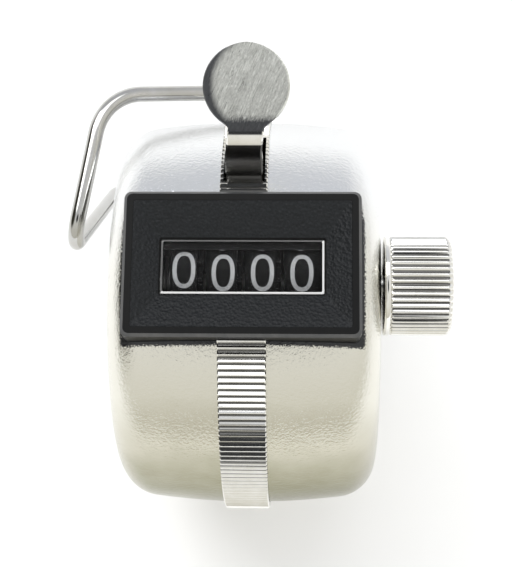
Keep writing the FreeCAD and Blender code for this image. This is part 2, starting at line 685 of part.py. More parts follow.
def ring_strap():
    """A strap round the back of the drum with a flat rest and the knuckle that the ring swings in."""
    half = size("strap_width") / 2
    inner = size("band_outer") + size("fit_gap")
    outer = size("strap_outer")
    first, last = 86, 196
    hoop = rod(outer, -half, half, 0, 0).cut(rod(inner, -half - 1, half + 1, 0, 0))
    quarter = (last - first) / 4.0
    wedge = [drum_point(0, 0)] + [drum_point(60, first + step * quarter) for step in range(5)]
    strap = hoop.common(slab(wedge, -half, 2 * half))
    rest = block(-half, half, -size("rest_length") / 2, size("rest_length") / 2, -size("rest_height"), -15)
    strap = strap.fuse(rest.cut(rod(inner, -half - 1, half + 1, 0, 0)))
    length = size("knuckle_length")
    start = HINGE_FOOT - HINGE_ALONG * (length / 2)
    knuckle = Part.makeCylinder(size("knuckle_radius"), length, start, HINGE_ALONG)
    strap = strap.fuse(knuckle.cut(rod(inner, -half - 1, half + 1, 0, 0)))
    strap = strap.cut(Part.makeCylinder(size("ring_bore"), 60, HINGE_FOOT - HINGE_ALONG * 30, HINGE_ALONG))
    for degrees in RIVET_ANGLES:
        strap = strap.cut(rivet_hole(degrees))
    return strap.removeSplitter()


def strap_rivet(degrees):
    """A round head rivet through the strap and the band."""
    out = drum_point(1, degrees)
    inside = size("drum_radius") + 0.05
    outside = size("strap_outer") + size("seam_gap")
    shank = Part.makeCylinder(size("rivet_radius"), outside - inside, drum_point(inside, degrees), out)
    seat = drum_point(outside, degrees)
    head = Part.makeCylinder(size("rivet_head"), size("rivet_head_height"), seat, out)
    return shank.fuse(head)


feature(ring_strap(), "ring_strap")
group("strap_rivets", [strap_rivet(degrees) for degrees in RIVET_ANGLES])

# ---------------------------------------------------------------- lift, test and write
doc.recompute()
lift = FreeCAD.Placement(FreeCAD.Vector(0, 0, size("rest_height")), FreeCAD.Rotation())
for part in parts.values():
    part.Placement = lift.multiply(part.Placement)
doc.recompute()
for thing in doc.Objects:
    if "Invalid" in thing.State or "Error" in thing.State:
        raise ValueError("%s did not compute: %s" % (thing.Label, thing.State))
for name, part in parts.items():
    if part.Shape.isNull() or not part.Shape.isValid():
        raise ValueError(name + " has no valid shape")
os.makedirs("parts", exist_ok=True)
for name, part in parts.items():
    part.Shape.exportStep("parts/%s.step" % name)
    solid_count = len(part.Shape.Solids)
    print("%-22s solids %d volume %9.2f" % (name, solid_count, part.Shape.Volume))
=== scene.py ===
import json
import math

import bmesh
import bpy
from mathutils import Matrix, Vector


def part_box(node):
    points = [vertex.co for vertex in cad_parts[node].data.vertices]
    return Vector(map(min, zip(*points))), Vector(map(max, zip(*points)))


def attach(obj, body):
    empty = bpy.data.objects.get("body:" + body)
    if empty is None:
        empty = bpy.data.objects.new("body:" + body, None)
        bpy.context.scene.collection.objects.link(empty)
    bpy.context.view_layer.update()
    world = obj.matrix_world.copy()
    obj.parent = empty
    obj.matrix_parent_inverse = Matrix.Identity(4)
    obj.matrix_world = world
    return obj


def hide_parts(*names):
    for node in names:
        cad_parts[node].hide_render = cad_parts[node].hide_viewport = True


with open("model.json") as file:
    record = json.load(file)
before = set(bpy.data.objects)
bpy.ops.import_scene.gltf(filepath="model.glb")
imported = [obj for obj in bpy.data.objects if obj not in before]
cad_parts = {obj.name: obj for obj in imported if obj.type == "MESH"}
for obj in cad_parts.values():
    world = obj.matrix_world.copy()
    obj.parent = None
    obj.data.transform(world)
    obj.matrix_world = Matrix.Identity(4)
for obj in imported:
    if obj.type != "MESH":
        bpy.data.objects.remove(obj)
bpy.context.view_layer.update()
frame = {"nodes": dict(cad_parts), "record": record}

# Hand tally counter, lying on its back on a pale table.  The pieces' lengths are millimetres about
# the drum's axis, and drum_space() turns them into the frame's metres.  The table's and the lamps'
# lengths are metres.
MM = 0.001


def box_middle(node):
    low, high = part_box(node)
    return (Vector(low) + Vector(high)) / 2


DRUM_AXIS = box_middle("left_frame_plate")
DRUM_AXIS.x = 0.0
WHEEL_AXIS = box_middle("reset_shaft")
WHEEL_UP = (WHEEL_AXIS.z - DRUM_AXIS.z) / MM

# Casing: a crowned drum of two pressed halves, with openings for the bezel, the lever and the knob.
DRUM_RADIUS = 21.75
CROWN = 0.0062
HALF_WIDTH = 14.2
END_DOME = 0.35
END_LEAN = 0.04
SHELL_CORNER = 4.4
SHELL_WALL = 0.8
SEAM_GAP = 0.02
OPENING_HALF_X = 10.3
OPENING_HALF_Y = 6.2
SLOT_HALF = 2.15
SHELL_SLOT_START = 7.9
BAND_SLOT_START = 9.2
SLOT_END = 15.4
KNOB_HOLE = 2.4
KNOB_HOLE_REACH = (10, 18)
CUT_LOW = 5
CUT_HIGH = 30

# Ribbed band over the joint.
BAND_HALF = 2.45
BAND_FOOT = 21.77
BAND_CREST = 22.5
BAND_VALLEY = 22.26
BAND_EASE = 0.12
RIB_COUNT = 200

# Bezel, lens and window.
BEZEL_HALF_X = 12.0
BEZEL_HALF_Y = 7.5
BEZEL_TOP = 22.7
FUNNEL_FLOOR = 21.2
WINDOW_HALF_X = 8.3
WINDOW_HALF_Y = 2.85
FLANGE = 0.5
NECK_HALF_X = 10.1
NECK_HALF_Y = 6.0
NECK_FLOOR = 19.35
LIP_EDGE = 2.05
LIP_BACK = 3.34
LIP_UNDER = 19.96
LIP_TOP = 20.2

# Number wheels and the numerals printed on them.
WHEEL_RADIUS = 6.9
WHEEL_PITCH = 4.0
NUMERAL_STEP = 36
NUMERAL_HALF = (0.96, 1.71)
STROKE_HALF = 0.215
INK_RISE = 0.03
INK_DEPTH = -0.06

# Thumb lever: a strap up through the casing to a round pad, and its yoke on the reset shaft.
LEVER_ANGLE = 33.4
LEVER_THICK = 0.9
NECK_HALF = 1.85
STRAP_START = 8.8
STRAP_KNEE = 12.3
BLADE_LEAN = 27.5
BLADE_RISE = 4.9
PAD_LEAN = 13.5
PAD_RADIUS = 4.4
PAD_SHIFT = 0.35
PAD_OFFSET = 5.3
LEVER_BENDS = (1.6, 1.5)
FOOT_FLARE = 0.1
FOOT_START = 6.5
FOOT_LENGTH = 1.5
SHIFT_START = 7.0
SHIFT_LENGTH = 3.0
WEB_INNER = 8.38
WEB_OUTER = 9.22
WEB_HALF = 8.85
WEB_SPREAD = 7
ARM_INNER = 8.82
ARM_OUTER = 9.58
ARM_REACH = 9.2
ARM_SPREAD = 7.5
HUB_RADIUS = 2.6
HUB_BORE = 1.25

# Reset knob.
KNOB_START = 14.5
KNOB_COLLAR = 0.7
KNOB_END = 21.6
COLLAR_RADIUS = 5.28
GRIP_RADIUS = 5.24
KNURL_DEPTH = 0.27
KNURLS = 48
PATTERN_STEPS = 10

# Finger ring: its wire's radius, its bends, its hinge's angle and distance from the drum's axis, and how
# far it reaches along the hinge's tangent to either side.
RING_WIRE = 0.86
RING_BENDS = [2.4, 6.0, 2.6, 4.5, 2.6]
RING_NEAR = 9.1
RING_FAR = 14.5
HINGE_ANGLE = 99.8
HINGE_DISTANCE = 23.9

# Studio: the sky's brightness from below the front edge up to behind the lever, and its dark places,
# each with a direction, the cosines where it starts and is full, and a colour.
SKY_STRENGTH = 0.95
SKY_UP = (-0.12, 0.7, 0.7)
SKY_STOPS = [(0.0, (0.42, 0.40, 0.33)), (0.22, (0.84, 0.825, 0.75)), (0.45, (0.92, 0.91, 0.86)),
             (0.62, (0.95, 0.945, 0.91)), (0.8, (1.0, 1.0, 1.0)), (0.93, (0.72, 0.74, 0.78))]
DARK_SPOTS = [((0.0, -0.234, 0.972), 0.955, 0.985, (0.035, 0.037, 0.04, 1)),
              ((-0.87, 0.1, 0.48), 0.82, 0.94, (0.05, 0.048, 0.035, 1))]
TABLE_HALF = 0.9
TABLE_DROP = 0.00005
CAMERA_TILT = 13.52
CAMERA_YAW = -2.11
CAMERA_ROLL = -0.22
CAMERA_LENS = 85.397
CAMERA_TO_AXIS = (-0.646, -3.244, -156.0)
CREASE = 32.0


def drum_space(x, y, z):
    return Vector((x, y, z)) * MM + DRUM_AXIS


def around_drum(x, radius, degrees):
    """A point at an angle from straight out of the window, turning towards the lever."""
    angle = math.radians(degrees)
    return drum_space(x, radius * math.sin(angle), radius * math.cos(angle))


def around_wheels(x, radius, degrees):
    """A point about the wheel axis, at an angle from the lever side turning up to the window."""
    angle = math.radians(degrees)
    return drum_space(x, radius * math.cos(angle), WHEEL_UP + radius * math.sin(angle))


def lever_points():
    """Corners of the lever's middle line in the drum's cross section, and the pad's middle."""
    angle = math.radians(LEVER_ANGLE)
    lean = math.radians(PAD_LEAN)

    def out(radius):
        return Vector((0, radius * math.cos(angle), WHEEL_UP + radius * math.sin(angle)))

    knee = out(STRAP_KNEE)
    rise = math.radians(BLADE_LEAN)
    bend = knee + Vector((0, math.sin(rise), math.cos(rise))) * BLADE_RISE
    along = Vector((0, math.cos(lean), math.sin(lean)))
    pad = bend + along * PAD_OFFSET
    return [out(STRAP_START), knee, bend, pad + along * PAD_RADIUS], pad


# ---------------------------------------------------------------- mesh makers
def finish_mesh(name, build, crease=CREASE):
    """Turn a bmesh into a piece with outward faces and smooth shading up to a crease angle."""
    bmesh.ops.recalc_face_normals(build, faces=build.faces)
    mesh = bpy.data.meshes.new(name)
    build.to_mesh(mesh)
    build.free()
    mesh.polygons.foreach_set("use_smooth", [True] * len(mesh.polygons))
    mesh.set_sharp_from_angle(angle=math.radians(crease))
    piece = bpy.data.objects.new(name, mesh)
    bpy.context.scene.collection.objects.link(piece)
    return piece


def skin(build, rings, closed=False, caps=True, slots=None):
    """Faces between rings of points; each stretch may have a material slot of its own."""
    rows = [[build.verts.new(point) for point in ring] for ring in rings]
    count = len(rows[0])
    stretches = len(rows) if closed else len(rows) - 1
    for index in range(stretches):
        first, second = rows[index], rows[(index + 1) % len(rows)]
        for place in range(count):
            after = (place + 1) % count
            face = build.faces.new((first[place], first[after], second[after], second[place]))
            face.material_index = slots[index] if slots else 0
    if caps and not closed:
        build.faces.new(rows[0])
        build.faces.new(rows[-1])
    return rows


def loft(name, rings, closed=False, caps=True, slots=None, crease=CREASE):
    build = bmesh.new()
    skin(build, rings, closed, caps, slots)
    return finish_mesh(name, build, crease)


def round_path(corners, radii, closed=False, steps=10):
    """Points along straight runs joined by tangent arcs."""
    points = []
    count = len(corners)
    for index in range(count):
        here = corners[index]
        if not closed and index in (0, count - 1):
            points.append(here.copy())
            continue
        back = (corners[index - 1] - here).normalized()
        on = (corners[(index + 1) % count] - here).normalized()
        half = back.angle(on) / 2
        middle = (back + on).normalized()
        centre = here + middle * (radii[index] / math.sin(half))
        start = here + back * (radii[index] / math.tan(half)) - centre
        end = here + on * (radii[index] / math.tan(half)) - centre
        for step in range(steps + 1):
            share = step / steps
            points.append(centre + start.normalized().slerp(end.normalized(), share) * start.length)
    return points


def resample(points, gap, closed=False):
    """The same path with no step longer than gap."""
    out = []
    count = len(points)
    for index in range(count if closed else count - 1):
        here, after = points[index], points[(index + 1) % count]
        pieces = max(1, math.ceil((after - here).length / gap))
        out += [here.lerp(after, part / pieces) for part in range(pieces)]
    if not closed:
        out.append(points[-1])
    return out


def tube(name, path, radius, sides=24, closed=False):
    """Round wire along a path, with its section carried along without twist."""
    rings = []
    count = len(path)
    aside = Vector((0.31, 0.2, 0.93))  # any direction that isn't along the wire's start
    for index in range(count):
        before = path[index - 1] if closed or index else path[0]
        after = path[(index + 1) % count] if closed or index < count - 1 else path[-1]
        along = (after - before).normalized()
        aside = (aside - along * aside.dot(along)).normalized()
        across = along.cross(aside)
        ring = []
        for side in range(sides):
            turn = 2 * math.pi * side / sides
            ring.append(path[index] + (aside * math.cos(turn) + across * math.sin(turn)) * radius)
        rings.append(ring)
    if closed:
        turn_back = closing_turn(rings, path, radius)
        for index, ring in enumerate(rings):
            along = (path[(index + 1) % count] - path[index - 1]).normalized()
            twist = Matrix.Rotation(turn_back * index / count, 3, along)
            rings[index] = [path[index] + twist @ (point - path[index]) for point in ring]
    return loft(name, rings, closed=closed)


def closing_turn(rings, path, radius):
    """How far the last section has to turn to meet the first, as an angle about the wire."""
    along = (path[0] - path[-1]).normalized()
    first = (rings[0][0] - path[0]) / radius
    last = (rings[-1][0] - path[-1]) / radius
    first = (first - along * first.dot(along)).normalized()
    last = (last - along * last.dot(along)).normalized()
    return math.atan2(last.cross(first).dot(along), last.dot(first))


def cut(piece, cutters):
    """Take boxes or bars out of a piece, leave no face without area and keep its smooth shading."""
    for cutter in cutters:
        change = piece.modifiers.new("cut", "BOOLEAN")
        change.object = cutter
        change.operation = "DIFFERENCE"
        change.solver = "EXACT"
    bpy.context.view_layer.update()
    graph = bpy.context.evaluated_depsgraph_get()
    mesh = bpy.data.meshes.new_from_object(piece.evaluated_get(graph))
    piece.modifiers.clear()
    piece.data = mesh
    build = bmesh.new()
    build.from_mesh(mesh)
    bmesh.ops.dissolve_degenerate(build, dist=0.0005 * MM, edges=build.edges)
    build.to_mesh(mesh)
    build.free()
    mesh.set_sharp_from_angle(angle=math.radians(CREASE))
    for cutter in cutters:
        bpy.data.objects.remove(cutter)


def box_piece(name, low, high):
    build = bmesh.new()
    low, high = drum_space(*low), drum_space(*high)
    bmesh.ops.create_cube(build, size=1.0)
    for vertex in build.verts:
        vertex.co = Vector((high[axis] if vertex.co[axis] > 0 else low[axis]) for axis in range(3))
    return finish_mesh(name, build)


def cutting_box(low, high):
    return box_piece("cutter", low, high)


def cutting_bar(radius, start, end):
    """A bar along X on the wheel axis."""
    rings = [[around_wheels(x, radius, 360 * side / 48) for side in range(48)] for x in (start, end)]
    return loft("cutter", rings)


def plate(name, outline, start, end, bevel=0.08):
    """A flat outline in the drum's cross section, as thick along X as start to end, with eased edges."""
    build = bmesh.new()
    skin(build, [[drum_space(x, y, z) for y, z in outline] for x in (start, end)])
    rims = [edge for edge in build.edges if abs(edge.verts[0].co.x - edge.verts[1].co.x) < 1e-7]
    bmesh.ops.bevel(build, geom=rims, offset=bevel * MM, segments=2, affect="EDGES", profile=0.5)
    return finish_mesh(name, build)


def join(name, pieces):
    build = bmesh.new()
    for piece in pieces:
        build.from_mesh(piece.data)
        bpy.data.objects.remove(piece)
    return finish_mesh(name, build)


# ---------------------------------------------------------------- materials
class Value:
    """A socket that adds a Math node for each operator used on it."""

    def __init__(self, finish, socket):
        self.finish, self.socket = finish, socket

    def math(self, operation, first, second=0.0):
        return self.finish.node("ShaderNodeMath", {"operation": operation}, {0: first, 1: second})

    def __add__(self, other):
        return self.math("ADD", self, other)

    def __sub__(self, other):
        return self.math("SUBTRACT", self, other)

    def __rsub__(self, other):
        return self.math("SUBTRACT", other, self)

    def __mul__(self, other):
        return self.math("MULTIPLY", self, other)

    def __pow__(self, other):
        return self.math("POWER", self, other)

    __radd__, __rmul__ = __add__, __mul__


class Finish:
    """One material: a Principled surface and the nodes that vary it."""

    def __init__(self, name, constants):
        self.material = bpy.data.materials.new(name)
        self.material.use_nodes = True
        self.tree = self.material.node_tree
        self.surface = self.tree.nodes["Principled BSDF"]
        for socket, amount in constants.items():
            self.surface.inputs[socket].default_value = amount

    def node(self, kind, settings=None, inputs=None, output=0):
        node = self.tree.nodes.new(kind)
        for setting, choice in (settings or {}).items():
            if setting == "stops":
                self.set_stops(node.color_ramp, choice)
            else:
                setattr(node, setting, choice)
        for socket, value in (inputs or {}).items():
            if isinstance(value, Value):
                self.tree.links.new(value.socket, node.inputs[socket])
            else:
                node.inputs[socket].default_value = value
        return Value(self, node.outputs[output])

    def set_stops(self, ramp, stops):
        while len(ramp.elements) < len(stops):
            ramp.elements.new(0.5)
        for element, (place, colour) in zip(ramp.elements, stops):
            element.position = place
            element.color = colour

    def place(self, stretch=(1, 1, 1), lean=(0, 0, 0)):
        """Object position in millimetres, leaned and then squeezed along each axis."""
        where = self.node("ShaderNodeTexCoord", output=3)
        sizes = [MM / part for part in stretch]
        return self.node("ShaderNodeMapping", {"vector_type": "TEXTURE"}, {0: where, 2: lean, 3: sizes})

    def noise(self, where, scale, detail=3.0, rough=0.55):
        return self.node("ShaderNodeTexNoise", {}, {"Vector": where, "Scale": scale, "Detail": detail,
                                                    "Roughness": rough})

    def cells(self, where, scale):
        return self.node("ShaderNodeTexVoronoi", {}, {"Vector": where, "Scale": scale})

    def spread(self, value, low, high, start=0.0, end=1.0):
        """Map a value from one range to another, held at both ends."""
        return self.node("ShaderNodeMapRange", {}, {0: value, 1: low, 2: high, 3: start, 4: end})

    def greater(self, first, second):
        return self.node("ShaderNodeMath", {"operation": "MAXIMUM"}, {0: first, 1: second})

    def ramp(self, factor, stops):
        return self.node("ShaderNodeValToRGB", {"stops": stops}, {0: factor})

    def blend(self, factor, first, second):
        settings = {"data_type": "RGBA"}
        return self.node("ShaderNodeMix", settings, {0: factor, 6: first, 7: second}, output=2)

    def split(self, vector, axis):
        return self.node("ShaderNodeSeparateXYZ", {}, {0: vector}, output=axis)

    def beyond(self, where, axis, half):
        """How far a point lies past a half size on either side of the middle, and 0 inside it."""
        offset = self.split(where, axis)
        past = (offset * offset) ** 0.5 - half
        return self.greater(past, 0.0)

    def bump(self, height, strength, distance_mm):
        normal = self.node("ShaderNodeBump", {}, {"Height": height, "Strength": strength,
                                                  "Distance": distance_mm * MM})
        self.drive("Normal", normal)

    def drive(self, socket, value):
        self.tree.links.new(value.socket, self.surface.inputs[socket])


def grey(level, warm=0.0):
    return (level * (1 + warm), level, level * (1 - warm), 1.0)


def satin_plate():
    """Satin chrome over pressed steel: fine peel, clouds, painted shade that darkens and warms it towards
    the bottom, and a painted dark line of shade and reflection at the bezel.
    """
    finish = Finish("satin_plate", {"Metallic": 1.0, "IOR": 2.3})
    where = finish.place()
    peel = finish.noise(where, 2.9, 2.0, 0.5)
    grit = finish.noise(where, 6.5, 2.0, 0.6)
    clouds = finish.noise(where, 0.16, 4.0, 0.55)
    # Painted shade: by height alone the colour darkens and turns olive towards the bottom of the drum.
    height = finish.split(where, 1)
    side = finish.spread(height, -22.0, 9.0)
    shade = side * 0.9 + clouds * 0.1
    colour = finish.ramp(shade, [(0.08, (0.24, 0.23, 0.14, 1)), (0.19, (0.54, 0.52, 0.43, 1)),
                                 (0.32, (0.74, 0.725, 0.65, 1)),
                                 (0.7, (0.78, 0.77, 0.72, 1)), (1.0, (0.80, 0.81, 0.825, 1))])
    # Painted shade and reflection: near-black on the casing just past the bezel's sides and ends, wider
    # and speckled by the grit above it.
    past_bezel_side = finish.beyond(where, 0, BEZEL_HALF_X)
    past_bezel_end = finish.beyond(where, 1, BEZEL_HALF_Y)
    far_side = finish.spread(height, 5.0, 8.0, 0.9, 2.0)
    gap = (past_bezel_side * past_bezel_side + past_bezel_end * past_bezel_end) ** 0.5 + grit * far_side
    shadow = finish.spread(gap, 0.92, 0.8)
    finish.drive("Base Color", finish.blend(shadow * 0.95, colour, (0.015, 0.017, 0.024, 1)))
    finish.drive("Roughness", clouds * 0.1 + 0.07)
    finish.bump(peel * 0.6 + grit * 0.4, 0.9, 0.08)
    return finish.material


def bright_plate(name, roughness, wear, tone=1.0):
    """Bright chrome with faint wipe marks; a lower tone is a darker plate, which the groove and blade
    copies use as painted shade.
    """
    finish = Finish(name, {"Metallic": 1.0, "IOR": 2.3})
    where = finish.place()
    clouds = finish.noise(where, 0.5, 4.0, 0.6)
    wipes = finish.noise(finish.place((0.4, 3.0, 0.4), (0.3, 0.5, 0.2)), 1.2, 5.0, 0.65)
    colour = finish.ramp(clouds, [(0.2, (0.78 * tone, 0.765 * tone, 0.71 * tone, 1)),
                                  (0.8, (0.9 * tone, 0.895 * tone, 0.88 * tone, 1))])
    finish.drive("Base Color", colour)
    finish.drive("Roughness", wipes * wear + roughness)
    finish.bump(wipes, 0.18, 0.01)
    return finish.material


def brushed_pad():
    """The thumb lever's brushed face: leaning hairlines, with painted shade at the rolled foot and along
    the left edge.
    """
    finish = Finish("brushed_pad", {"Metallic": 1.0, "IOR": 2.3})
    lean = (0.0, 0.0, math.radians(-24))
    hair = finish.noise(finish.place((4.5, 0.4, 0.4), lean), 1.6, 5.0, 0.7)
    fleck = finish.noise(finish.place((3.2, 1.2, 1.2), lean), 2.4, 3.0, 0.6)
    mix = hair * 0.6 + fleck * 0.4
    colour = finish.ramp(mix, [(0.3, (0.42, 0.425, 0.395, 1)), (0.5, (0.66, 0.665, 0.62, 1)),
                               (0.68, (0.95, 0.96, 0.91, 1))])
    where = finish.place()
    across, up = finish.split(where, 0), finish.split(where, 1)
    _, pad = lever_points()
    from_middle = ((across - PAD_SHIFT) * (across - PAD_SHIFT) + (up - pad.y) * (up - pad.y)) ** 0.5
    # Painted shade: near-black round the pad's edge, heavier on the left, and at the rolled foot.
    rim_shade = finish.spread(from_middle + across * -0.34 + fleck * 0.6, 4.35, 5.2)
    foot = finish.spread(up + fleck * 0.9, pad.y - 2.5, pad.y - 3.2)
    dark = finish.greater(rim_shade, foot)
    finish.drive("Base Color", finish.blend(dark * 0.93, colour, (0.06, 0.062, 0.07, 1)))
    finish.drive("Roughness", hair * 0.2 + 0.2)
    finish.bump(mix, 0.5, 0.06)
    return finish.material


def grained_plastic():
    """Black moulding with a leather grain."""
    finish = Finish("grained_plastic", {"IOR": 1.5, "Specular IOR Level": 0.22})
    where = finish.place()
    warp = finish.noise(where, 1.6, 2.0, 0.5)
    creases = finish.cells(where, 2.9)
    fine = finish.noise(where, 5.2, 3.0, 0.6)
    grain = creases * 0.5 + fine * 0.35 + warp * 0.3
    colour = finish.ramp(fine, [(0.3, (0.006, 0.007, 0.008, 1)), (0.75, (0.016, 0.0175, 0.0195, 1))])
    finish.drive("Base Color", colour)
    finish.drive("Roughness", fine * 0.2 + 0.36)
    finish.bump(grain, 0.9, 0.2)
    return finish.material


def smooth_plastic(name, level, roughness, shine):
    """Plain moulded black plastic with faint flow marks."""
    finish = Finish(name, {"IOR": 1.5, "Specular IOR Level": shine})
    flow = finish.noise(finish.place((1.0, 0.4, 1.0)), 0.8, 4.0, 0.6)
    colour = finish.ramp(flow, [(0.25, grey(level * 0.75, -0.06)), (0.8, grey(level * 1.3, 0.02))])
    finish.drive("Base Color", colour)
    finish.drive("Roughness", flow * 0.12 + roughness)
    finish.bump(flow, 0.1, 0.02)
    return finish.material


def printed_grey():
    """Light grey numeral ink, a little uneven at its edges."""
    finish = Finish("numeral_ink", {"IOR": 1.45, "Roughness": 0.6})
    speck = finish.noise(finish.place(), 6.0, 3.0, 0.6)
    colour = finish.ramp(speck, [(0.3, (0.36, 0.37, 0.38, 1)), (0.7, (0.56, 0.57, 0.58, 1))])
    finish.drive("Base Color", colour)
    finish.bump(speck, 0.15, 0.01)
    return finish.material


def clear_plastic(name, level, alpha):
    finish = Finish(name, {"IOR": 1.49, "Alpha": alpha, "Specular IOR Level": 0.25})
    haze = finish.noise(finish.place(), 0.7, 3.0, 0.6)
    finish.drive("Base Color", finish.ramp(haze, [(0.2, grey(level * 0.9)), (0.8, grey(level))]))
    finish.drive("Roughness", haze * 0.05 + 0.03)
    return finish.material


def plain_metal(name, dark, light, roughness, turned=False):
    """Zinc, spring steel or brass with machining lines and a little staining."""
    finish = Finish(name, {"Metallic": 1.0})
    stretch = (6.0, 0.5, 0.5) if turned else (0.6, 4.0, 0.6)
    lines = finish.noise(finish.place(stretch), 1.3, 4.0, 0.65)
    stains = finish.noise(finish.place(), 0.35, 4.0, 0.6)
    colour = finish.ramp(stains * 0.6 + lines * 0.4, [(0.25, dark + (1.0,)), (0.75, light + (1.0,))])
    finish.drive("Base Color", colour)
    finish.drive("Roughness", lines * 0.22 + roughness)
    finish.bump(lines, 0.25, 0.02)
    return finish.material


def table_paint():
    finish = Finish("pale_table", {"Roughness": 0.75})
    soft = finish.noise(finish.place(), 0.02, 3.0, 0.5)
    finish.drive("Base Color", finish.ramp(soft, [(0.2, grey(0.93)), (0.8, grey(0.95))]))
    return finish.material


SATIN = satin_plate()
BRIGHT = bright_plate("bright_plate", 0.05, 0.1)
WIRE_PLATE = bright_plate("wire_plate", 0.06, 0.12, 0.62)
# Painted shade: a darker copy of the bright plate for the valleys of the band's ribs and the knob's
# knurls.
SHADED_GROOVE = bright_plate("groove_painted_shade", 0.16, 0.2, 0.2)
# Painted shade: a near-black copy of the bright plate for the lever's blade below the bend.
SHADED_BLADE = bright_plate("blade_painted_shade", 0.12, 0.15, 0.16)
BRUSHED = brushed_pad()
GRAINED = grained_plastic()
RIM_BLACK = smooth_plastic("rim_plastic", 0.004, 0.34, 0.12)
# Painted reflection: a lighter, shinier copy of the rim plastic for the bezel's outer chamfer.
CHAMFER_REFLECTION = smooth_plastic("chamfer_painted_reflection", 0.06, 0.3, 0.5)
WHEEL_BLACK = smooth_plastic("wheel_black", 0.002, 0.5, 0.12)
INK = printed_grey()
LENS = clear_plastic("lens_clear", 0.03, 0.08)
# Painted highlights: a near-white and a pale grey copy of the clear plastic for the lens block's bevel.
LENS_EDGE_HIGHLIGHT = clear_plastic("lens_edge_highlight", 0.95, 0.85)
LENS_SOFT_HIGHLIGHT = clear_plastic("lens_soft_highlight", 0.3, 0.5)
ZINC = plain_metal("zinc_plate", (0.42, 0.42, 0.41), (0.68, 0.68, 0.66), 0.25)
SPRING = plain_metal("spring_wire", (0.2, 0.2, 0.2), (0.45, 0.44, 0.43), 0.28)
BRASS = plain_metal("lathe_brass", (0.5, 0.36, 0.13), (0.8, 0.62, 0.28), 0.22, turned=True)

SLOT_FINISH = {"satin_chrome": SATIN, "bright_chrome": BRIGHT, "black_plastic": RIM_BLACK,
               "clear_lens": LENS, "wheel_plastic": WHEEL_BLACK, "zinc_steel": ZINC,
               "spring_steel": SPRING, "turned_brass": BRASS}


def finish_cad_nodes():
    """Give every carried-over piece the finish of its slot; the ratchet is black like its wheel."""
    for part in frame["record"]["subparts"]:
        node = part["node"]
        mesh = frame["nodes"][node].data
        mesh.materials.clear()
        slot_finish = SLOT_FINISH[part["material_slot"]]
        mesh.materials.append(WHEEL_BLACK if node == "units_ratchet" else slot_finish)


def fit(piece, body, slot, materials, *nodes):
    """Hand a finished piece to the frame: its body, finishes and the nodes it stands for. The slot is not
    used.
    """
    for material in materials:
        piece.data.materials.append(material)
    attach(piece, body)
    if nodes:
        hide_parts(*nodes)
    return piece


# ---------------------------------------------------------------- casing shells
def shell_section():
    """The shell wall's outline: crowned side, rounded corner and slightly domed end."""
    corner_start = HALF_WIDTH
    for _ in range(4):
        lean = math.atan(2 * CROWN * corner_start)
        corner_start = HALF_WIDTH - SHELL_CORNER * (1 - math.sin(lean))
    outer = []
    for step in range(13):
        x = SEAM_GAP + (corner_start - SEAM_GAP) * step / 13
        outer.append((x, DRUM_RADIUS - CROWN * x * x, math.atan(2 * CROWN * x)))
    centre_x = corner_start - SHELL_CORNER * math.sin(lean)
    centre_r = DRUM_RADIUS - CROWN * corner_start ** 2 - SHELL_CORNER * math.cos(lean)
    end_lean = math.pi / 2 - END_LEAN
    for step in range(15):
        turn = lean + (end_lean - lean) * step / 14
        x, r = centre_x + SHELL_CORNER * math.sin(turn), centre_r + SHELL_CORNER * math.cos(turn)
        outer.append((x, r, turn))
    last_x, last_r, _ = outer[-1]
    for step in range(1, 9):
        share = 1 - step / 9
        bulge = END_DOME * (1 - share * share)
        outer.append((last_x + bulge, last_r * share, math.pi / 2 - END_LEAN * share))
    inner = [(x - SHELL_WALL * math.sin(turn), r - SHELL_WALL * math.cos(turn)) for x, r, turn in outer]
    return [(x, r) for x, r, _ in outer], inner


def shell(name, side):
    outer, inner = shell_section()
    steps = 240
    build = bmesh.new()
    rings = [[around_drum(side * x, r, 360 * turn / steps) for turn in range(steps)]
             for x, r in list(reversed(inner)) + outer]
    rows = skin(build, rings, caps=False)
    for row, (x, _) in ((rows[0], inner[-1]), (rows[-1], outer[-1])):
        tip = build.verts.new(drum_space(side * (x + 0.01), 0, 0))
        for place in range(steps):
            build.faces.new((row[place], row[(place + 1) % steps], tip))
    piece = finish_mesh(name + "_pressing", build)
    start, end = (-1, OPENING_HALF_X) if side > 0 else (-OPENING_HALF_X, 1)
    cutters = [cutting_box((start, -OPENING_HALF_Y, CUT_LOW), (end, OPENING_HALF_Y, CUT_HIGH)),
               cutting_box((-SLOT_HALF, SHELL_SLOT_START, CUT_LOW), (SLOT_HALF, SLOT_END, CUT_HIGH))]
    if side > 0:
        cutters.append(cutting_bar(KNOB_HOLE, *KNOB_HOLE_REACH))
    cut(piece, cutters)
    return fit(piece, "casing", "satin_chrome", [SATIN], name)


# ---------------------------------------------------------------- ribbed band
def rib_band():
    """The cross-ribbed strip over the casing's joint, open at the bezel and slotted for the lever."""
    step = 360 / RIB_COUNT / PATTERN_STEPS
    first = math.degrees(math.asin((BEZEL_HALF_Y + SEAM_GAP) / BAND_CREST))
    stations = int((360 - 2 * first) / step)
    half, ease = BAND_HALF, BAND_EASE
    rings, slots = [], []
    for station in range(stations + 1):
        degrees = first + station * step
        depth = groove(degrees * RIB_COUNT / 360)
        crest = BAND_CREST - (BAND_CREST - BAND_VALLEY) * depth
        section = [(-half, BAND_FOOT), (-half, crest - ease), (-half + ease, crest), (half - ease, crest),
                   (half, crest - ease), (half, BAND_FOOT)]
        rings.append([around_drum(x, r, degrees) for x, r in section])
        next_depth = groove(degrees * RIB_COUNT / 360 + 1 / PATTERN_STEPS)
        # Faces deep in a rib's valley take the second finish, the painted groove shade.
        slots.append(1 if min(depth, next_depth) > 0.6 else 0)
    piece = loft("rib_band_ribs", rings, slots=slots, crease=50.0)
    cut(piece, [cutting_box((-SLOT_HALF, BAND_SLOT_START, CUT_LOW), (SLOT_HALF, SLOT_END, CUT_HIGH))])
    return fit(piece, "casing", "bright_chrome", [BRIGHT, SHADED_GROOVE], "rib_band")


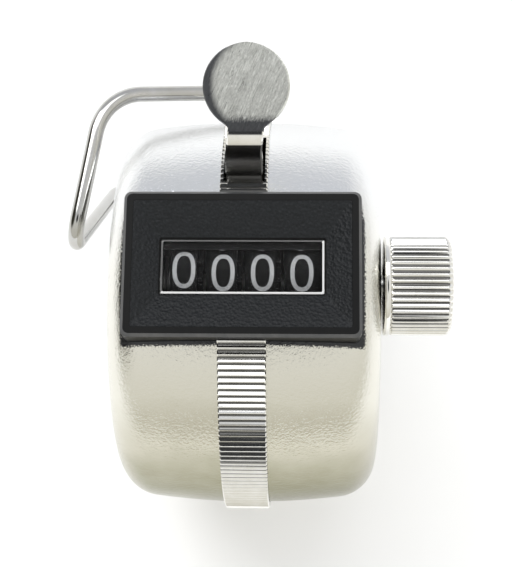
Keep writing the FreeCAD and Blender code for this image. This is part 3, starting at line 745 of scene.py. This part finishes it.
# ---------------------------------------------------------------- bezel and lens
def rounded_rectangle(half_x, half_y, radius, per_corner=6, per_side=14):
    points = []
    corners = [(1, 1), (-1, 1), (-1, -1), (1, -1)]
    for index, (sx, sy) in enumerate(corners):
        centre = Vector((sx * (half_x - radius), sy * (half_y - radius)))
        start = index * math.pi / 2
        for step in range(per_corner + 1):
            turn = start + math.pi / 2 * step / per_corner
            points.append(centre + Vector((math.cos(turn), math.sin(turn))) * radius)
        after_x, after_y = corners[(index + 1) % 4]
        after = Vector((after_x * (half_x - radius), after_y * (half_y - radius)))
        after += Vector((math.cos(start + math.pi / 2), math.sin(start + math.pi / 2))) * radius
        here = points[-1]
        points += [here.lerp(after, step / per_side) for step in range(1, per_side)]
    return points


def casing_height(x, y):
    """How high the casing stands at a place seen from straight out of the window."""
    outer, _ = shell_section()
    x = abs(x)
    for (near, near_radius), (far, far_radius) in zip(outer, outer[1:]):
        if near <= x <= far:
            radius = near_radius + (far_radius - near_radius) * (x - near) / (far - near)
            return math.sqrt(radius * radius - y * y)
    return math.sqrt(outer[0][1] ** 2 - y * y)


def bezel():
    """Moulded frame: a smooth rim, grained slopes that fall to the window, and a lip over the wheels."""
    def ring(half_x, half_y, radius, height):
        flat = rounded_rectangle(half_x, half_y, radius)
        return [drum_space(p.x, p.y, height(p.x, p.y) if callable(height) else height) for p in flat]

    x, y, top = BEZEL_HALF_X, BEZEL_HALF_Y, BEZEL_TOP
    window_x, window_y, floor = WINDOW_HALF_X, WINDOW_HALF_Y, FUNNEL_FLOOR
    skirt_x, skirt_y = NECK_HALF_X + 0.05, NECK_HALF_Y + 0.05
    # The edge stretch, the outer chamfer, takes the painted reflection finish.
    smooth, grained, edge = 0, 1, 2
    sections = [
        (ring(x, y, 0.75, lambda a, b: casing_height(a, b) + 0.03), smooth),
        (ring(x, y, 0.75, top - 0.34), edge),
        (ring(x - 0.3, y - 0.3, 0.6, top), smooth),
        (ring(x - 0.95, y - 0.95, 0.2, top), smooth),
        (ring(x - 0.99, y - 0.99, 0.18, top - 0.03), grained),
        (ring(x - 1.04, y - 1.04, 0.16, top - 0.05), grained),
        (ring(window_x + 0.16, window_y + 0.16, 0.22, floor + 0.04), smooth),
        (ring(window_x + 0.02, window_y + 0.02, 0.2, floor - 0.03), smooth),
        (ring(window_x, window_y, 0.2, floor - 0.26), smooth),
        (ring(window_x + FLANGE, window_y + FLANGE, 0.2, floor - 0.27), smooth),
        (ring(window_x + FLANGE, window_y + FLANGE, 0.2, floor - 1.0), smooth),
        (ring(NECK_HALF_X, NECK_HALF_Y, 0.4, NECK_FLOOR), smooth),
        (ring(skirt_x, skirt_y, 0.4, lambda a, b: casing_height(a, b) - 0.9), smooth),
        (ring(skirt_x, skirt_y, 0.4, lambda a, b: casing_height(a, b) + 0.04), smooth),
    ]
    rings = [points for points, _ in sections]
    slots = [kind for _, kind in sections]
    frame_part = loft("frame_part", rings, closed=True, slots=slots, crease=24.0)
    lip_half = window_x + FLANGE - 0.01
    lip = box_piece("lip", (-lip_half, LIP_EDGE, LIP_UNDER), (lip_half, LIP_BACK, LIP_TOP))
    piece = join("bezel_moulding", [frame_part, lip])
    return fit(piece, "casing", "black_plastic", [RIM_BLACK, GRAINED, CHAMFER_REFLECTION], "bezel")


def window_lens():
    """Clear lens: a flange behind the window and a raised block with bevelled edges inside it; the bevel
    has a painted highlight, bright on the near and right sides and fainter elsewhere.
    """
    base, top, raised = FUNNEL_FLOOR - 0.95, FUNNEL_FLOOR - 0.28, FUNNEL_FLOOR - 0.06
    x, y = WINDOW_HALF_X - 0.04, WINDOW_HALF_Y - 0.04
    sections = [(x + 0.42, y + 0.42, base), (x + 0.42, y + 0.42, top), (x, y, top), (x, y, raised - 0.1),
                (x - 0.2, y - 0.2, raised)]
    rings = [[drum_space(p.x, p.y, z) for p in rounded_rectangle(half_x, half_y, 0.15, 3, 6)]
             for half_x, half_y, z in sections]
    piece = loft("window_lens_block", rings, crease=20.0)
    # Painted highlight on the bevel: bright on the near and right sides, fainter on the others.
    bright, faint = 1, 2
    for face in piece.data.polygons:
        middle = (face.center - DRUM_AXIS) / MM
        on_bevel = raised - 0.09 < middle.z < raised - 0.01
        near_or_right = middle.y < -y + 0.2 or middle.x > x - 0.2
        if on_bevel:
            face.material_index = bright if near_or_right else faint
    return fit(piece, "casing", "clear_lens", [LENS, LENS_EDGE_HIGHLIGHT, LENS_SOFT_HIGHLIGHT], "window_lens")


# ---------------------------------------------------------------- numerals
def arc(cx, cy, rx, ry, start, end, steps=14):
    span = [math.radians(start + (end - start) * step / steps) for step in range(steps + 1)]
    return [(cx + rx * math.cos(turn), cy + ry * math.sin(turn)) for turn in span]


def oval(cx, cy, rx, ry, steps=36, squareness=2.35):
    points = []
    for step in range(steps):
        turn = 2 * math.pi * step / steps
        c, s = math.cos(turn), math.sin(turn)
        points.append((cx + rx * math.copysign(abs(c) ** (2 / squareness), c),
                       cy + ry * math.copysign(abs(s) ** (2 / squareness), s)))
    return points + points[:1]


# Each numeral is a list of strokes in a box from -1 to 1 across and -1 to 1 up.
NUMERALS = [
    [oval(0, 0, 1, 1)],
    [[(-0.45, 0.6), (0.1, 1.0), (0.1, -1.0)]],
    [arc(0, 0.42, 0.95, 0.58, 165, -38) + [(-0.95, -1.0), (1.0, -1.0)]],
    [arc(0, 0.5, 0.88, 0.5, 150, -90) + arc(0, -0.5, 0.98, 0.5, 90, -150)],
    [[(0.45, -1.0), (0.45, 1.0), (-1.0, -0.38), (1.0, -0.38)]],
    [[(0.85, 1.0), (-0.75, 1.0), (-0.85, 0.12)] + arc(0, -0.38, 0.98, 0.62, 130, -150)],
    [arc(0.15, -0.3, 1.1, 1.3, 70, 180) + arc(0, -0.42, 0.95, 0.58, 180, 540, 24)],
    [[(-0.95, 1.0), (0.95, 1.0), (-0.25, -1.0)]],
    [oval(0, 0.52, 0.8, 0.48, 24, 2.0), oval(0, -0.48, 0.98, 0.52, 24, 2.0)],
    [arc(-0.15, 0.3, 1.1, 1.3, 250, 360) + arc(0, 0.42, 0.95, 0.58, 0, 360, 24)],
]


def stroke(build, line, centre_x, centre_angle):
    """A raised ribbon along a line, bent round a number wheel's rim."""
    path = [Vector((x * NUMERAL_HALF[0], y * NUMERAL_HALF[1])) for x, y in line]
    closed = (path[0] - path[-1]).length < 1e-6
    if closed:
        path = path[:-1]
    path = [p.xy for p in resample([p.to_3d() for p in path], 0.3, closed)]
    rings = []
    count = len(path)
    for index in range(count):
        before = path[index - 1] if closed or index else path[0]
        after = path[(index + 1) % count] if closed or index < count - 1 else path[-1]
        along = (after - before).normalized()
        side = Vector((-along.y, along.x)) * STROKE_HALF
        ring = []
        left, right = path[index] - side, path[index] + side
        for point, rise in ((left, INK_DEPTH), (left, INK_RISE), (right, INK_RISE), (right, INK_DEPTH)):
            degrees = centre_angle + math.degrees(point.y / WHEEL_RADIUS)
            ring.append(around_wheels(centre_x + point.x, WHEEL_RADIUS + rise, 180 - degrees))
        rings.append(ring)
    skin(build, rings, closed=closed)


def number_wheel(order, printed_lean):
    """The ten numerals of one wheel, set round the rim and turned by a small printing error."""
    middle_x = box_middle(order + "_wheel").x / MM
    centre_x = (round(middle_x / WHEEL_PITCH - 0.5) + 0.5) * WHEEL_PITCH
    build = bmesh.new()
    for value, strokes in enumerate(NUMERALS):
        for line in strokes:
            stroke(build, line, centre_x, 90 + printed_lean - NUMERAL_STEP * value)
    piece = finish_mesh(order + "_numerals", build, 40.0)
    return fit(piece, order, "wheel_plastic", [INK])


# ---------------------------------------------------------------- thumb lever
def lever_half_width(distance_to_pad):
    """Half the lever's width by the distance along it from the pad's middle, towards the top."""
    neck = NECK_HALF
    if distance_to_pad < -FOOT_START:
        neck += FOOT_FLARE * min(1.0, (-FOOT_START - distance_to_pad) / FOOT_LENGTH)
    disc = math.sqrt(max(0.0, PAD_RADIUS ** 2 - distance_to_pad ** 2))
    if distance_to_pad > 0:
        return disc
    fillet = 0.55
    return (neck ** (1 / fillet * 4) + disc ** (1 / fillet * 4)) ** (fillet / 4) if disc else neck


def thumb_lever():
    corners, pad = lever_points()
    path = round_path(corners, [0, *LEVER_BENDS, 0], steps=8)
    path = resample(path, 0.22)
    top = path[-1]
    fine_top = [pad + (top - pad) * math.sin(math.pi / 2 * step / 16) for step in range(17)]
    path = [p for p in path if (p - top).length > PAD_RADIUS + 0.1] + fine_top
    lengths = [0.0]
    for before, after in zip(path, path[1:]):
        lengths.append(lengths[-1] + (after - before).length)
    pad_length = lengths[-17]
    rings = []
    for index, point in enumerate(path):
        before, after = path[max(0, index - 1)], path[min(len(path) - 1, index + 1)]
        along = (after - before).normalized()
        up = Vector((1, 0, 0)).cross(along)
        half = max(lever_half_width(lengths[index] - pad_length), 0.12)
        ease = min(0.16, half * 0.45)
        thick = LEVER_THICK / 2
        under = [(-half, -thick + ease), (-half + ease, -thick), (-half * 0.4, -thick)]
        under += [(-x, rise) for x, rise in reversed(under)]
        section = under + [(-x, -rise) for x, rise in under]
        past_start = lengths[index] - pad_length + SHIFT_START
        shift = PAD_SHIFT * min(1.0, max(0.0, past_start / SHIFT_LENGTH))
        ring = [point + Vector((x + shift, 0, 0)) + up * rise for x, rise in section]
        rings.append([drum_space(*p) for p in ring])
    build = bmesh.new()
    skin(build, rings)
    strap = finish_mesh("thumb_lever_strap", build, 40.0)
    for face in strap.data.polygons:
        middle = (face.center - DRUM_AXIS) / MM
        faces_out = face.normal.z > 0.6 or face.normal.y < -0.3
        on_pad = middle.y > pad.y - PAD_RADIUS - 0.1
        on_blade = middle.z < corners[2].z - 0.25
        # Outward faces: the pad takes the brushed finish, the blade below the bend the painted shade
        # copy.
        if faces_out:
            face.material_index = 1 if on_pad else 2 if on_blade else 0
    fit(strap, "lever", "bright_chrome", [BRIGHT, BRUSHED, SHADED_BLADE], "thumb_lever")
    yoke = join("thumb_lever_yoke", [yoke_web(), yoke_arm(1), yoke_arm(-1)])
    fit(yoke, "lever", "bright_chrome", [ZINC], "thumb_lever")


def in_section(radius, degrees):
    angle = math.radians(degrees)
    return (radius * math.cos(angle), WHEEL_UP + radius * math.sin(angle))


def yoke_web():
    before, after = LEVER_ANGLE - WEB_SPREAD, LEVER_ANGLE + WEB_SPREAD
    outline = [in_section(WEB_INNER, before), in_section(WEB_OUTER, before),
               in_section(WEB_OUTER, after), in_section(WEB_INNER, after)]
    return plate("web", outline, -WEB_HALF, WEB_HALF)


def yoke_arm(side):
    """One side arm of the yoke: a hub on the reset shaft and a tapered reach to the web."""
    outline = [in_section(HUB_RADIUS, LEVER_ANGLE + 38 + step * 12) for step in range(24)]
    outline += [in_section(ARM_REACH, LEVER_ANGLE + turn) for turn in (-ARM_SPREAD, ARM_SPREAD)]
    start, end = (ARM_INNER, ARM_OUTER) if side > 0 else (-ARM_OUTER, -ARM_INNER)
    piece = plate("arm", outline, start, end)
    cut(piece, [cutting_bar(HUB_BORE, start - 1, end + 1)])
    return piece


# ---------------------------------------------------------------- reset knob
def reset_knob():
    """Knurled knob with a plain collar and a chamfered end."""
    count = KNURLS * PATTERN_STEPS
    grip = KNOB_START + KNOB_COLLAR
    start, end = KNOB_START, KNOB_END
    stations = [(start, 4.9, 0.0), (start + 0.08, 5.2, 0.0), (start + 0.2, COLLAR_RADIUS, 0.0),
                (grip - 0.1, COLLAR_RADIUS, 0.0), (grip - 0.02, 5.2, 0.0), (grip + 0.02, 5.0, 0.0),
                (grip + 0.1, 5.18, 0.75), (grip + 0.28, GRIP_RADIUS, 1.0), (end - 0.6, GRIP_RADIUS, 1.0),
                (end - 0.42, 5.2, 0.9), (end - 0.14, 5.0, 0.35), (end - 0.02, 4.82, 0.0),
                (end, 4.7, 0.0), (end - 0.03, 4.2, 0.0), (end - 0.1, 2.0, 0.0)]
    rings = []
    for x, radius, knurled in stations:
        depths = [KNURL_DEPTH * knurled * groove(place / PATTERN_STEPS) for place in range(count)]
        places = [(radius - depth, 360 * place / count) for place, depth in enumerate(depths)]
        rings.append([around_wheels(x, reach, degrees) for reach, degrees in places])
    piece = loft("reset_knob_grip", rings, crease=48.0)
    # Faces deep in the knurls' grooves take the second finish, the painted groove shade.
    for face in piece.data.polygons:
        out = Vector((face.center - WHEEL_AXIS).yz) / MM
        turn = math.degrees(math.atan2(out.y, out.x)) * KNURLS / 360
        in_groove = groove(turn) > 0.55 and out.length < 5.2
        face.material_index = 1 if in_groove and grip + 0.1 < face.center.x / MM < KNOB_END - 0.3 else 0
    return fit(piece, "reset", "bright_chrome", [BRIGHT, SHADED_GROOVE], "reset_knob")


def groove(turns):
    """Depth of a rib's groove by turns of the pattern: 0 on the crest, 1 on the valley floor."""
    from_crest = abs((turns + 0.5) % 1.0 - 0.5) * 2
    return min(1.0, max(0.0, (from_crest - 0.12) / 0.76))


# ---------------------------------------------------------------- finger ring
def finger_ring():
    """The bent wire ring, swung over to the left of the drum at rest."""
    angle = math.radians(HINGE_ANGLE)
    foot = Vector((0, math.sin(angle), math.cos(angle))) * HINGE_DISTANCE
    along = Vector((0, math.cos(angle), -math.sin(angle)))
    corners = [foot - along * RING_NEAR, Vector((-16.1, 21.9, 12.4)), Vector((-19.2, 4.2, 11.3)),
               Vector((-18.4, 20.4, -17.6)), foot + along * RING_FAR]
    path = round_path(corners, RING_BENDS, closed=True, steps=14)
    path = [drum_space(*p) for p in resample(path, 0.8, closed=True)]
    piece = tube("finger_ring_wire", path, RING_WIRE * MM, closed=True)
    return fit(piece, "ring", "bright_chrome", [WIRE_PLATE], "finger_ring")


# ---------------------------------------------------------------- table, light and camera
def table():
    build = bmesh.new()
    bmesh.ops.create_grid(build, x_segments=2, y_segments=2, size=TABLE_HALF)
    floor = finish_mesh("table_top", build)
    floor.location.z = -TABLE_DROP
    floor.data.materials.append(table_paint())


def sky():
    """The surround: white behind the lever, warm low in front, dark above the window and at the left."""
    world = bpy.data.worlds.new("studio")
    bpy.context.scene.world = world
    world.use_nodes = True
    tree = world.node_tree
    where = tree.nodes.new("ShaderNodeTexCoord")
    facing = tree.nodes.new("ShaderNodeVectorMath")
    facing.operation = "DOT_PRODUCT"
    facing.inputs[1].default_value = SKY_UP
    spread = tree.nodes.new("ShaderNodeMapRange")
    spread.inputs[1].default_value = -1.0
    ramp = tree.nodes.new("ShaderNodeValToRGB")
    tree.links.new(where.outputs["Generated"], facing.inputs[0])
    tree.links.new(facing.outputs["Value"], spread.inputs[0])
    tree.links.new(spread.outputs[0], ramp.inputs[0])
    lit = ramp.outputs[0]
    for direction, start, full, colour in DARK_SPOTS:
        spot = tree.nodes.new("ShaderNodeVectorMath")
        spot.operation = "DOT_PRODUCT"
        spot.inputs[1].default_value = direction
        edge = tree.nodes.new("ShaderNodeMapRange")
        edge.inputs[1].default_value, edge.inputs[2].default_value = start, full
        dim = tree.nodes.new("ShaderNodeMix")
        dim.data_type = "RGBA"
        dim.inputs[7].default_value = colour
        tree.links.new(where.outputs["Generated"], spot.inputs[0])
        tree.links.new(spot.outputs["Value"], edge.inputs[0])
        tree.links.new(edge.outputs[0], dim.inputs[0])
        tree.links.new(lit, dim.inputs[6])
        lit = dim.outputs[2]
    tree.links.new(lit, tree.nodes["Background"].inputs[0])
    tree.nodes["Background"].inputs[1].default_value = SKY_STRENGTH
    stops = ramp.color_ramp.elements
    while len(stops) < len(SKY_STOPS):
        stops.new(0.5)
    for stop, (place, colour) in zip(stops, SKY_STOPS):
        stop.position = place
        stop.color = colour + (1.0,)


def soft_box(name, place, target, width, height, watts, mirrored=True):
    """A broad lamp aimed at a place; one that isn't mirrored is not seen in the chrome."""
    lamp = bpy.data.lights.new(name, "AREA")
    lamp.shape = "RECTANGLE"
    lamp.size, lamp.size_y = width, height
    lamp.energy = watts
    holder = bpy.data.objects.new(name, lamp)
    holder.location = place
    holder.visible_glossy = mirrored
    holder.rotation_euler = (Vector(target) - Vector(place)).to_track_quat("-Z", "Y").to_euler()
    bpy.context.scene.collection.objects.link(holder)


def camera():
    """Close view from a little below the window's normal, turned slightly about the lever's line."""
    tilt, yaw, roll = math.radians(CAMERA_TILT), math.radians(CAMERA_YAW), math.radians(CAMERA_ROLL)
    turn = Matrix.Rotation(roll, 3, "Z") @ Matrix.Rotation(yaw, 3, "Y") @ Matrix.Rotation(-tilt, 3, "X")
    view = bpy.data.cameras.new("camera")
    view.sensor_width = 36.0
    view.lens = CAMERA_LENS
    holder = bpy.data.objects.new("camera", view)
    seen_axis = Vector(CAMERA_TO_AXIS) * MM
    back = turn.transposed()
    holder.matrix_world = Matrix.Translation(DRUM_AXIS - back @ seen_axis) @ back.to_4x4()
    bpy.context.scene.collection.objects.link(holder)
    bpy.context.scene.camera = holder


finish_cad_nodes()
shell("right_shell", 1)
shell("left_shell", -1)
rib_band()
bezel()
window_lens()
for order, lean in (("thousands", 0.0), ("hundreds", -2.5), ("tens", -2.3), ("units", -2.5)):
    number_wheel(order, lean)
thumb_lever()
reset_knob()
finger_ring()
table()
sky()
soft_box("key", (-0.32, 0.3, 0.55), (0, 0, 0.02), 0.3, 0.3, 1.6)
soft_box("top", (0.0, 0.35, 0.7), (0, 0, 0), 0.6, 0.4, 1.6)
soft_box("front", (0.1, -0.6, 0.35), (0, -0.03, 0), 0.5, 0.3, 2.2, mirrored=False)
camera()
bpy.context.scene.view_settings.view_transform = "Standard"
